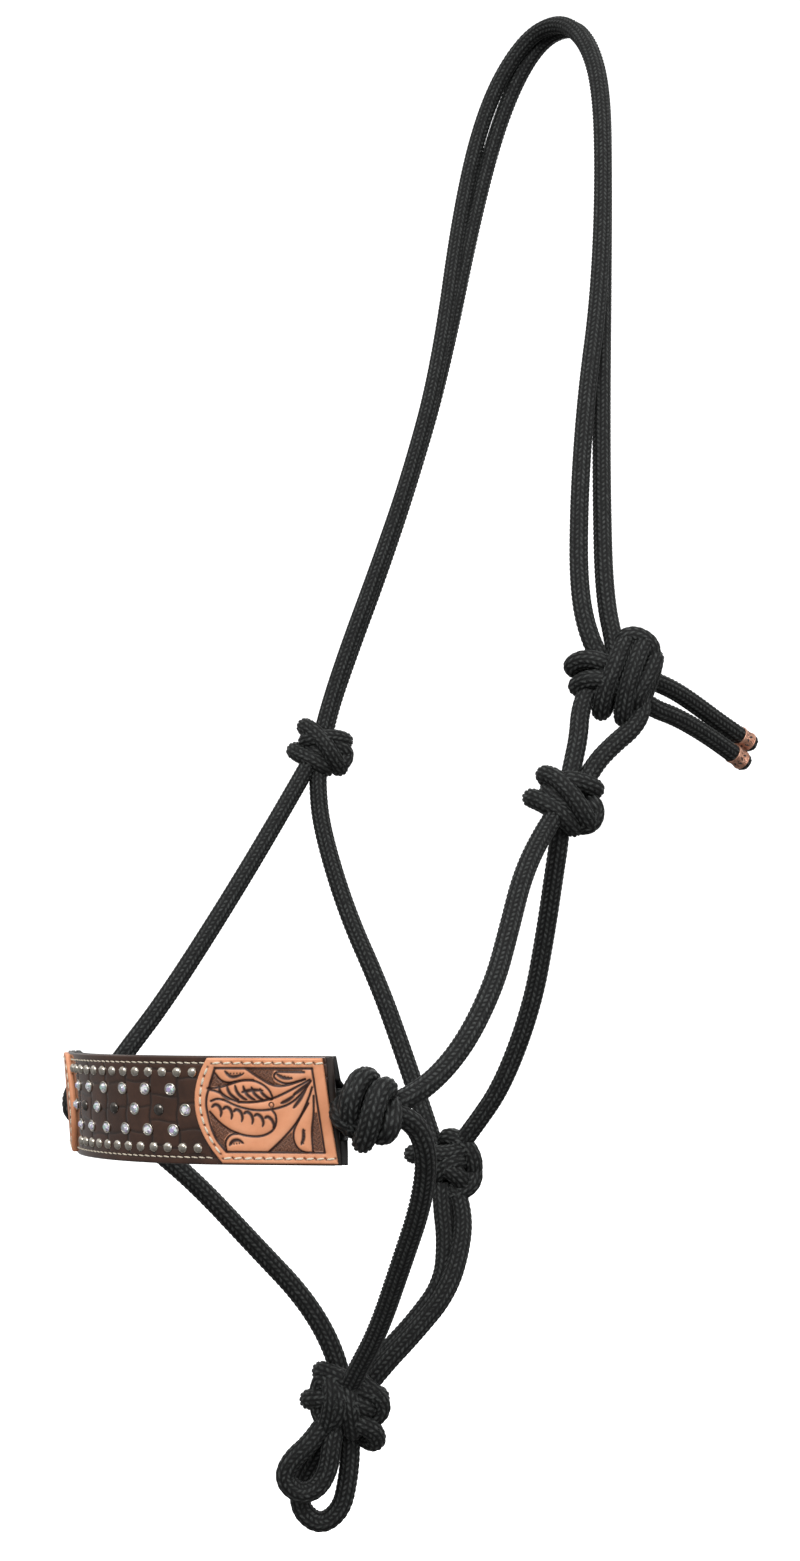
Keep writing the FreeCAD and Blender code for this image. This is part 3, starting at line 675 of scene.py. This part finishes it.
# Depth of each kind of tool mark, in mm.
CUT_DEPTH = 0.5
BEVEL_DEPTH = 0.22
VEIN_DEPTH = 0.4
SEED_DEPTH = 0.35
GROUND_DEPTH = 0.7
PEBBLE_RISE = 0.18
HOLE_DEPTH = 0.5
EDGE_ROUNDING = 0.7
ROSETTE = (1.1, 2.8)

# Cuts and outlines, in mm from the plate's middle, from its bowed front to its square end.
CUTS = [
    [(-25.5, 19.7), (22.6, 19.7)], [(22.6, 19.7), (25.6, -19.2)], [(25.6, -19.2), (-23.1, -19.2)],
    [(-25.5, 19.7), (-29, 10.6), (-30.9, 5), (-30.9, -0.6), (-28.5, -12.2), (-23.1, -19.2)],
    [(-10, 19.4), (-4.6, 15.6), (2, 11.7), (8.5, 11.4), (18.7, 14.7)],
    [(-25.5, 17.2), (-23.1, 13.9), (-19.5, 12.8), (-15.4, 13.6), (-11.8, 14.2), (-7, 14.2)],
    [(-29.7, 10.3), (-24.9, 10.6), (-18.9, 12.2), (-13, 14.2), (-7, 14.2), (-2.2, 12.2), (0.8, 9.4),
     (1.7, 6.7)],
    [(1.7, 5.6), (-7, 3.9), (-15.4, 3.9), (-20.7, 6.1), (-24.9, 8.9), (-29.1, 9.8)],
    [(-22.5, 5), (-15.4, 1.7), (-7, 0), (2, 0.6), (10.9, 3.3), (17.5, 8.9), (21.5, 14)],
    [(-15.4, 3.9), (-7, 3.9), (2, 5.6), (9.7, 8.9), (21, 14.5)],
    [(-28.5, 4.4), (-25.5, 5.6), (-22.5, 5)],
    [(-29.4, -0.6), (-24.9, -6.1), (-18.9, -10), (-11.8, -11.9), (-4.6, -11.9), (0.8, -9.4), (2.9, -5.6),
     (2.9, -1.7), (1.2, 0.2)],
    [(-23.1, -18.6), (-23.4, -14.4), (-20.7, -11.1), (-16.8, -10.6)],
    [(21.9, 11), (19.9, 6.1), (15.7, -1.7), (10.9, -7.8), (3.8, -14.4), (-2.2, -19.2)],
    [(19.4, 3.6), (13.3, -5), (10.6, -10), (10.9, -15), (13.3, -18.3), (16.3, -19.2)],
    [(19.9, -19.2), (19.9, -8.9), (21.7, -1.7), (22.3, 7)],
    [(18.7, 14.7), (9.7, 12.2), (5, 13.9), (2.9, 16.1), (5, 18.3), (8.5, 18.1), (18.5, 18)],
]
VEINS = [
    [(-20.7, 18.3), (-18.5, 15.9), (-16, 15.7), (-11.8, 17)],
    [(5, 16.9), (8, 15.2), (12.5, 15)],
    [(15.9, -8.5), (15.9, -12.5), (14.3, -15.6)],
    [(-21.3, -16.1), (-19.6, -13.9), (-16.5, -13.4), (-14.2, -15.2)],
    [(-13, 8.6), (-8, 9.8), (-2.5, 9.4)],
    [(12, 1.5), (16, 6), (19.5, 11.5)], [(12.5, 7.5), (17, 10.5), (21, 13.5)],
    [(6, 3.6), (9.5, 5), (13, 7.4)],
]
VEINS += [[(-24.5 + 4.1 * i, 11.4 + 0.35 * i - 0.12 * i * i), (-23.6 + 4.1 * i, 8), (-20.6 + 4.1 * i, 5.6),
           (-19 + 4.1 * i, 5.1)] for i in range(6)]
VEINS += [[(-28.2 + 5.1 * i, 1.6 - 1.0 * i), (-26.8 + 5.1 * i, 3 - 1.1 * i),
           (-24.6 + 5.1 * i, 2.2 - 1.25 * i), (-23.8 + 5.1 * i, -0.6 - 1.2 * i),
           (-24.6 + 5.1 * i, -3 - 1.1 * i)] for i in range(6)]
SEEDS = [((-19.6, 17.2), (-11.6, 17.4), 6), ((5.6, 16.6), (12, 15.4), 5), ((16.6, -9), (15.4, -15), 5),
         ((-20.4, -15.6), (-15, -15), 5)]
GROUNDS = [
    [(-25.5, 18.9), (-24.9, 16.1), (-21.9, 13.3), (-17.2, 12.8), (-20.1, 11.5), (-28.7, 10.6), (-28.5, 13)],
    [(-10, 19.4), (18.7, 19.2), (17.5, 18.1), (7.4, 18.1), (3.8, 18.3), (2.6, 16.1), (3.8, 13.6),
     (8.2, 11.6), (2, 11.7), (-4.6, 15)],
    [(-30.3, -0.6), (-29.1, -1.1), (-24.9, -6.1), (-18.9, -10.3), (-21.5, -11.2), (-23.4, -13.5),
     (-23.1, -18.9), (-28.5, -12.2)],
    [(10.3, -9.4), (3.8, -14.4), (-1.9, -19.2), (13.9, -19.4), (11.5, -16.1), (10.3, -11.7)],
    [(22, -0.6), (23.6, -0.4), (25.3, -18.9), (20.2, -18.9), (19.9, -9.4)],
]


def flowing(points):
    """A cut as one sweep of the knife, with its corners eased."""
    line = np.array(points, dtype=float)
    for _ in range(3):
        if len(line) < 3:
            return line
        eased = np.repeat(line, 2, axis=0)[1:-1].reshape(-1, 2, 2)
        eased = np.stack([0.75 * eased[:, 0] + 0.25 * eased[:, 1],
                          0.25 * eased[:, 0] + 0.75 * eased[:, 1]], axis=1).reshape(-1, 2)
        line = np.vstack([line[:1], eased, line[-1:]])
    return line


def from_line(places, line):
    """Distance to a line, and how far along it the nearest point is, from 0 to 1."""
    nearest = np.full(len(places), 1e9)
    progress = np.zeros(len(places))
    for i, (start, end) in enumerate(zip(line, line[1:])):
        run = end - start
        share = np.clip(((places - start) @ run) / (run @ run), 0, 1)
        offset = places - start - share[:, None] * run
        distance = np.hypot(offset[:, 0], offset[:, 1])
        closer = distance < nearest
        nearest[closer] = distance[closer]
        progress[closer] = (i + share[closer]) / (len(line) - 1)
    return nearest, progress


def inside(places, outline):
    """True for the places inside a closed outline."""
    within = np.zeros(len(places), dtype=bool)
    x, y = places[:, 0], places[:, 1]
    for (x1, y1), (x2, y2) in zip(outline, np.roll(outline, -1, axis=0)):
        if y1 != y2:
            within ^= ((y1 > y) != (y2 > y)) & (x < (x2 - x1) * (y - y1) / (y2 - y1) + x1)
    return within


def plate_edge(y, inset=0.0):
    """Where the plate's bowed front and its square end are at that height."""
    bow = PLATE_BOW * (1 - (y / PLATE_TOP) ** 2)
    return -PLATE_CORNER - PLATE_SKEW * y - bow + inset, PLATE_BACK - PLATE_SKEW * y - inset


def plate_along(x):
    """How far round the noseband that part of a plate lies, in mm."""
    return 1000 * REACH - PLATE_SETBACK - PLATE_GAUGE * (PLATE_BACK - x)


def plate_stitches():
    """Middle and direction of each stitch: the top, the bottom and the bowed front."""
    stitches = []
    for i in range(11):
        stitches.append((-24.6 + PLATE_STITCH_PITCH * i, STITCH_ROW, STITCH_SLANT))
        stitches.append((-22.6 + PLATE_STITCH_PITCH * i, -STITCH_ROW, STITCH_SLANT))
    for i in range(9):
        y = -18.2 + FRONT_STITCH_PITCH * i
        lean = math.atan2(1, 2 * PLATE_BOW * y / PLATE_TOP ** 2 - PLATE_SKEW)
        stitches.append((plate_edge(y, FRONT_STITCH_INSET)[0], y, lean))
    return stitches


def carve(places):
    """Height in mm, and a dye value from 0 to 1 that also holds painted shade, at places on the plate in mm.
    """
    height = np.zeros(len(places))
    dye_and_shade = np.zeros(len(places))
    for cut in CUTS:
        distance, _ = from_line(places, flowing(cut))
        height -= CUT_DEPTH * np.exp(-(distance / 0.45) ** 2) + BEVEL_DEPTH * np.exp(-(distance / 1.4) ** 2)
        # Dark along the cut, partly dye and partly painted shade, with a soft painted shade to each side.
        dye_and_shade = np.maximum(dye_and_shade, 1.1 * np.exp(-(distance / 0.58) ** 4) + 0.24 * np.exp(-distance / 1.2))
    for vein in VEINS:
        distance, progress = from_line(places, flowing(vein))
        width = 0.26 + 0.72 * np.sin(np.pi * np.clip(progress * 0.9 + 0.1, 0, 1))
        height -= VEIN_DEPTH * np.exp(-(distance / width) ** 2)
        # Dark along the vein, partly dye and partly painted shade, with a soft painted shade beside it.
        dye_and_shade = np.maximum(dye_and_shade, np.exp(-(distance / width) ** 4) + 0.16 * np.exp(-distance / 0.9))
    for start, end, count in SEEDS:
        for i in range(count):
            middle = np.array(start) + (np.array(end) - start) * i / (count - 1)
            distance = np.hypot(*(places - middle).T)
            height -= SEED_DEPTH * np.exp(-(distance / 0.5) ** 2)
            # Each seed is dark, partly dye and partly painted shade.
            dye_and_shade = np.maximum(dye_and_shade, np.exp(-(distance / 0.48) ** 4))
    hollow = np.hypot(places[:, 0] - ROSETTE[0], places[:, 1] - ROSETTE[1])
    height -= 0.55 * np.clip(1.5 - hollow, 0, 0.5) * 2 - 0.4 * np.exp(-(hollow / 0.6) ** 2)
    # The rosette's ring is dark, partly dye and partly painted shade.
    dye_and_shade = np.maximum(dye_and_shade, 0.9 * (np.abs(hollow - 1.15) < 0.35))
    ground = np.zeros(len(places))
    for outline in GROUNDS:
        outline = np.array(outline)
        edge, _ = from_line(places, np.vstack([outline, outline[:1]]))
        ground = np.maximum(ground, inside(places, outline) * np.clip(edge / 0.45, 0, 1))
    x, y = places[:, 0], places[:, 1]
    pebbles = np.sin(5.3 * x + 1.7 * np.sin(2.1 * y)) * np.sin(5.1 * y + 1.9 * np.sin(1.9 * x))
    height -= ground * (GROUND_DEPTH - PEBBLE_RISE * pebbles)
    dye_and_shade = np.maximum(dye_and_shade, ground * (0.86 - 0.16 * pebbles))
    for stitch_x, stitch_y, lean in plate_stitches():
        for end in (-1, 1):
            hole_x = stitch_x + end * HOLE_REACH * math.cos(lean)
            hole_y = stitch_y + end * HOLE_REACH * math.sin(lean)
            distance = np.hypot(x - hole_x, y - hole_y)
            height -= HOLE_DEPTH * np.exp(-(distance / 0.5) ** 2)
            # Each stitch hole is painted dark as shade.
            dye_and_shade = np.maximum(dye_and_shade, np.exp(-(distance / 0.55) ** 2))
    front, back = plate_edge(y)
    edge = np.minimum.reduce([x - front, back - x, PLATE_TOP - np.abs(y)])
    height -= EDGE_ROUNDING * np.clip(1 - edge / 0.8, 0, 1) ** 2
    return height, np.clip(dye_and_shade, 0, 1)


tooled_leather, tree, shader = new_material("tooled_leather", (0.78, 0.4, 0.2), 0.5)
grain_bump(tree, shader, 1900, 0.22, 0.0001)
# The dye attribute darkens the tan towards dark brown: real dye on the ground and in the cuts, and painted
# shade beside the cuts and veins and in the stitch holes.
dye_and_shade = tree.nodes.new("ShaderNodeAttribute")
dye_and_shade.attribute_name = "dye_and_shade"
flesh = pattern(tree, "ShaderNodeTexNoise", Scale=65.0, Detail=6.0, Roughness=0.6)
tan = colour_ramp(tree, flesh.outputs["Fac"], [
    (0.25, (0.7, 0.275, 0.13)), (0.5, (0.83, 0.35, 0.18)), (0.75, (0.9, 0.42, 0.235))])
dyed_and_shaded = tree.nodes.new("ShaderNodeMix")
dyed_and_shaded.data_type = "RGBA"
tree.links.new(dye_and_shade.outputs["Fac"], dyed_and_shaded.inputs["Factor"])
tree.links.new(tan, dyed_and_shaded.inputs["A"])
dyed_and_shaded.inputs["B"].default_value = (0.035, 0.012, 0.008, 1)
tree.links.new(dyed_and_shaded.outputs["Result"], shader.inputs["Base Color"])

for side, name in ((-1, "near"), (1, "far")):
    shape = bmesh.new()
    bmesh.ops.create_grid(shape, x_segments=230, y_segments=168, size=1)
    rows = np.array([vertex.co.y for vertex in shape.verts]) * PLATE_TOP
    front, back = plate_edge(rows)
    columns = np.array([vertex.co.x for vertex in shape.verts])
    places = np.stack([front + (back - front) * (columns + 1) / 2, rows], axis=1)
    height, dye_and_shade = carve(places)
    dye_and_shade_layer = shape.verts.layers.float.new("dye_and_shade")
    for vertex, place, rise, shade in zip(shape.verts, places, height, dye_and_shade):
        vertex[dye_and_shade_layer] = shade
        vertex.co = (side * plate_along(place[0]) / 1000, place[1] / 1000,
                     OVERLAY_FACE + (PLATE_RISE + rise) / 1000)
    closed_below(shape, OVERLAY_FACE)
    bent_piece(f"{name}_carved_plate", shape, tooled_leather, [name + "_tooled_plate"])


# ---------------------------------------------------------------- stitching
# Waxed cream thread. Each stitch is a short plump ellipsoid that dips into a
# hole at both ends, finer along the overlay than round the plates.
waxed_thread, tree, shader = new_material("waxed_thread", (0.82, 0.72, 0.56), 0.5)
# The twist bands colour the thread darker where they bump it lower: painted shade between the turns of the
# twist.
twist = pattern(tree, "ShaderNodeTexWave", Scale=1100.0, Distortion=1.0)
twist.bands_direction = "DIAGONAL"
tone = colour_ramp(tree, twist.outputs["Fac"], [(0.2, (0.6, 0.5, 0.36)), (0.8, (0.88, 0.8, 0.66))])
tree.links.new(tone, shader.inputs["Base Color"])
add_bump(tree, shader, twist.outputs["Fac"], 0.5, 0.0001)
shader.inputs["Sheen Weight"].default_value = 0.1


def stitch_row(name, stitches, length, width, level, node):
    """Stitches joined into one piece: (along, up, lean) of each, in mm."""
    shape = bmesh.new()
    for along, up, lean in stitches:
        grown = bmesh.ops.create_uvsphere(shape, u_segments=8, v_segments=6, radius=0.0005)["verts"]
        bmesh.ops.rotate(shape, verts=grown, cent=(0, 0, 0), matrix=Matrix.Rotation(math.pi / 2, 3, "Y"))
        bmesh.ops.scale(shape, vec=(length, width, 0.8 * width), verts=grown)
        bmesh.ops.rotate(shape, verts=grown, cent=(0, 0, 0), matrix=Matrix.Rotation(lean, 3, "Z"))
        bmesh.ops.translate(shape, vec=(along / 1000, up / 1000, level), verts=grown)
    bent_piece(name, shape, waxed_thread, [node])


EDGE_STITCH_PITCH = 3.57
EDGE_STITCHES = 29

for level, sign in (("top", 1), ("bottom", -1)):
    row = [(-50 + EDGE_STITCH_PITCH * i, sign * STITCH_ROW, 0.13) for i in range(EDGE_STITCHES)]
    stitch_row("edge_stitches_" + level, row,
               3.1, 0.75, OVERLAY_FACE + 0.0001, "edge_thread_" + level)
for side, name in ((-1, "near"), (1, "far")):
    row = [(side * plate_along(x), y, side * lean) for x, y, lean in plate_stitches()]
    stitch_row(name + "_plate_stitches", row, 3.7, 1.15,
               OVERLAY_FACE + 0.001 * PLATE_RISE, name + "_plate_thread")


# ---------------------------------------------------------------- spots
# Domed nickel spots in a row along each edge, and three darker ones among the
# crystals, pressed through the overlay with their prongs turned over behind.
polished_nickel, tree, shader = new_material("polished_nickel", (0.62, 0.57, 0.5), 0.16)
shader.inputs["Metallic"].default_value = 1
rubbed = pattern(tree, "ShaderNodeTexNoise", Scale=600.0, Detail=3.0)
tone = colour_ramp(tree, rubbed.outputs["Fac"], [(0.3, (0.46, 0.41, 0.34)), (0.7, (0.74, 0.7, 0.63))])
tree.links.new(tone, shader.inputs["Base Color"])
add_bump(tree, shader, rubbed.outputs["Fac"], 0.06, 0.0001)

dark_nickel, tree, shader = new_material("dark_nickel", (0.1, 0.09, 0.085), 0.2)
shader.inputs["Metallic"].default_value = 0.9
rubbed = pattern(tree, "ShaderNodeTexNoise", Scale=450.0, Detail=3.0)
tone = colour_ramp(tree, rubbed.outputs["Fac"], [(0.3, (0.06, 0.055, 0.05)), (0.7, (0.17, 0.155, 0.14))])
tree.links.new(tone, shader.inputs["Base Color"])

METALS = {"top_spots": polished_nickel, "bottom_spots": polished_nickel, "dark_spots": dark_nickel,
          "crystal_settings_upper": polished_nickel, "crystal_settings_middle": polished_nickel,
          "crystal_settings_lower": polished_nickel}
for name, metal in METALS.items():
    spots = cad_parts[name]
    spots.data.materials.clear()
    spots.data.materials.append(metal)


# ---------------------------------------------------------------- crystals
# Foil-backed cut crystals in three rows. Each has a flat table and two rings of
# facets. Every facet gets one painted tone from white down to dark grey, a few
# violet and green, as painted glints, shade and coloured reflections, and the
# stones glow faintly with painted light from emission.
CRYSTAL_RADIUS = 0.0022
CRYSTAL_RISE = 0.0018
CRYSTAL_PITCH = 13.8
CRYSTAL_SHIFT = 1.1
CRYSTAL_ROW = 9.6

cut_crystal, tree, shader = new_material("cut_crystal", (0.9, 0.92, 0.96), 0.07)
# A per-facet colour attribute sets both the base and the emission colour: painted glints, shade and coloured
# reflections, and a faint painted glow.
facet_glint = tree.nodes.new("ShaderNodeAttribute")
facet_glint.attribute_name = "facet_glint"
tree.links.new(facet_glint.outputs["Color"], shader.inputs["Base Color"])
tree.links.new(facet_glint.outputs["Color"], shader.inputs["Emission Color"])
shader.inputs["Emission Strength"].default_value = 0.25
shader.inputs["Metallic"].default_value = 0.55
shader.inputs["Coat Weight"].default_value = 0.8
shader.inputs["Coat Roughness"].default_value = 0.03

FACET_GLINT_TONES = [(0.95, 0.95, 0.97), (0.62, 0.63, 0.66), (0.98, 0.98, 0.98), (0.34, 0.34, 0.38), (0.8, 0.78, 0.74),
         (0.5, 0.42, 0.68), (0.92, 0.9, 0.86), (0.45, 0.62, 0.56), (0.24, 0.22, 0.24)]
CRYSTALS = {"upper": [(CRYSTAL_SHIFT + CRYSTAL_PITCH * (i - 2.5), CRYSTAL_ROW) for i in range(6)],
            "middle": [(CRYSTAL_SHIFT + CRYSTAL_PITCH * i, 0) for i in (-3, -1, 1, 3)],
            "lower": [(CRYSTAL_SHIFT + CRYSTAL_PITCH * (i - 2.5), -CRYSTAL_ROW) for i in range(6)]}
facet_count = 0
for row, places in CRYSTALS.items():
    shape = bmesh.new()
    facet_glint_layer = shape.faces.layers.float_color.new("facet_glint")
    for along, up in places:
        start = len(shape.faces)
        rim = bmesh.ops.create_circle(shape, segments=8, radius=CRYSTAL_RADIUS)["verts"]
        edges = list({edge for vertex in rim for edge in vertex.link_edges})
        stone = list(rim)
        for size, level in ((0.85, 0.55), (0.5, 1.0)):
            grown = bmesh.ops.extrude_edge_only(shape, edges=edges)["geom"]
            ring = [item for item in grown if isinstance(item, bmesh.types.BMVert)]
            edges = [item for item in grown if isinstance(item, bmesh.types.BMEdge)]
            widest = max(vertex.co.xy.length for vertex in ring)
            bmesh.ops.scale(shape, vec=(size * CRYSTAL_RADIUS / widest,) * 2 + (1,), verts=ring)
            bmesh.ops.rotate(shape, cent=(0, 0, 0), matrix=Matrix.Rotation(math.pi / 8, 3, "Z"), verts=ring)
            for vertex in ring:
                vertex.co.z = level * CRYSTAL_RISE
            stone += ring
        bmesh.ops.contextual_create(shape, geom=edges)
        shape.faces.ensure_lookup_table()
        bmesh.ops.triangulate(shape, faces=[face for face in shape.faces[start:] if len(face.verts) == 4])
        bmesh.ops.translate(shape, vec=(along / 1000, up / 1000, OVERLAY_FACE + 0.0001), verts=stone)
    # Facets take their painted glint tones from the list in turn.
    for face in shape.faces:
        facet_count += 1
        glint_tone = FACET_GLINT_TONES[(facet_count * 7 + facet_count // 5) % len(FACET_GLINT_TONES)]
        face[facet_glint_layer] = (*glint_tone, 1)
    bent_piece("cut_crystals_" + row, shape, cut_crystal, ["crystals_" + row], smooth=False)


# ---------------------------------------------------------------- floor, backdrop and light
# A plain white sweep far behind and below, under a soft studio sky that is
# brightest overhead, with a soft key lamp, a weaker fill below it and a rim lamp.
SWEEP_FLOOR = -1.35
SWEEP_RADIUS = 4.0
LAMPS_AIM = Vector((-0.15, 0, -0.5))

white_sweep, tree, shader = new_material("white_sweep", (0.93, 0.93, 0.93), 0.9)
shader.inputs["Emission Color"].default_value = (1, 1, 1, 1)
shader.inputs["Emission Strength"].default_value = 0.8
shape = bmesh.new()
bmesh.ops.create_circle(shape, segments=96, radius=SWEEP_RADIUS)
rim = list(shape.edges)
for height, radius in ((0.02, 4.3), (0.12, 4.6), (0.35, 4.85), (0.8, 5.0), (4.5, 5.0)):
    grown = bmesh.ops.extrude_edge_only(shape, edges=rim)["geom"]
    rim = [item for item in grown if isinstance(item, bmesh.types.BMEdge)]
    for vertex in [item for item in grown if isinstance(item, bmesh.types.BMVert)]:
        flat = vertex.co.xy.normalized() * radius
        vertex.co = (*flat, height)
bmesh.ops.holes_fill(shape, edges=[edge for edge in shape.edges if edge.is_boundary
                                   and edge.verts[0].co.z < 0.01], sides=0)
bmesh.ops.translate(shape, verts=shape.verts, vec=(0, 0, SWEEP_FLOOR))
mesh = mesh_from("sweep", shape)
sweep = piece_from("sweep", mesh, white_sweep)
sweep.visible_diffuse = False
sweep.visible_glossy = False
sweep.visible_shadow = False

bpy.context.scene.view_settings.view_transform = "Standard"
world = bpy.data.worlds.new("studio")
bpy.context.scene.world = world
world.use_nodes = True
tree = world.node_tree
sky = tree.nodes["Background"]
sky.inputs["Strength"].default_value = 0.75
direction = tree.nodes.new("ShaderNodeTexCoord")
axes = tree.nodes.new("ShaderNodeSeparateXYZ")
tree.links.new(direction.outputs["Generated"], axes.inputs["Vector"])
lifted = tree.nodes.new("ShaderNodeMapRange")
lifted.inputs["From Min"].default_value = -1
tree.links.new(axes.outputs["Z"], lifted.inputs["Value"])
tone = colour_ramp(tree, lifted.outputs["Result"], [
    (0.0, (0.22, 0.22, 0.22)), (0.4, (0.42, 0.42, 0.42)),
    (0.55, (0.5, 0.5, 0.5)), (0.72, (1.15, 1.15, 1.15))])
tree.links.new(tone, sky.inputs["Color"])

LAMPS = {"key": ((-1.5, -0.9, 0.35), 0.9, 19), "fill": ((-0.2, -2.0, -0.5), 1.2, 5),
         "rim": ((1.5, 0.7, 0.3), 1.0, 9)}
for name, (place, width, power) in LAMPS.items():
    lamp_data = bpy.data.lights.new(name, "AREA")
    lamp_data.energy = power
    lamp_data.size = width
    lamp = bpy.data.objects.new(name, lamp_data)
    lamp.location = place
    lamp.rotation_euler = (LAMPS_AIM - lamp.location).to_track_quat("-Z", "Y").to_euler()
    bpy.context.collection.objects.link(lamp)
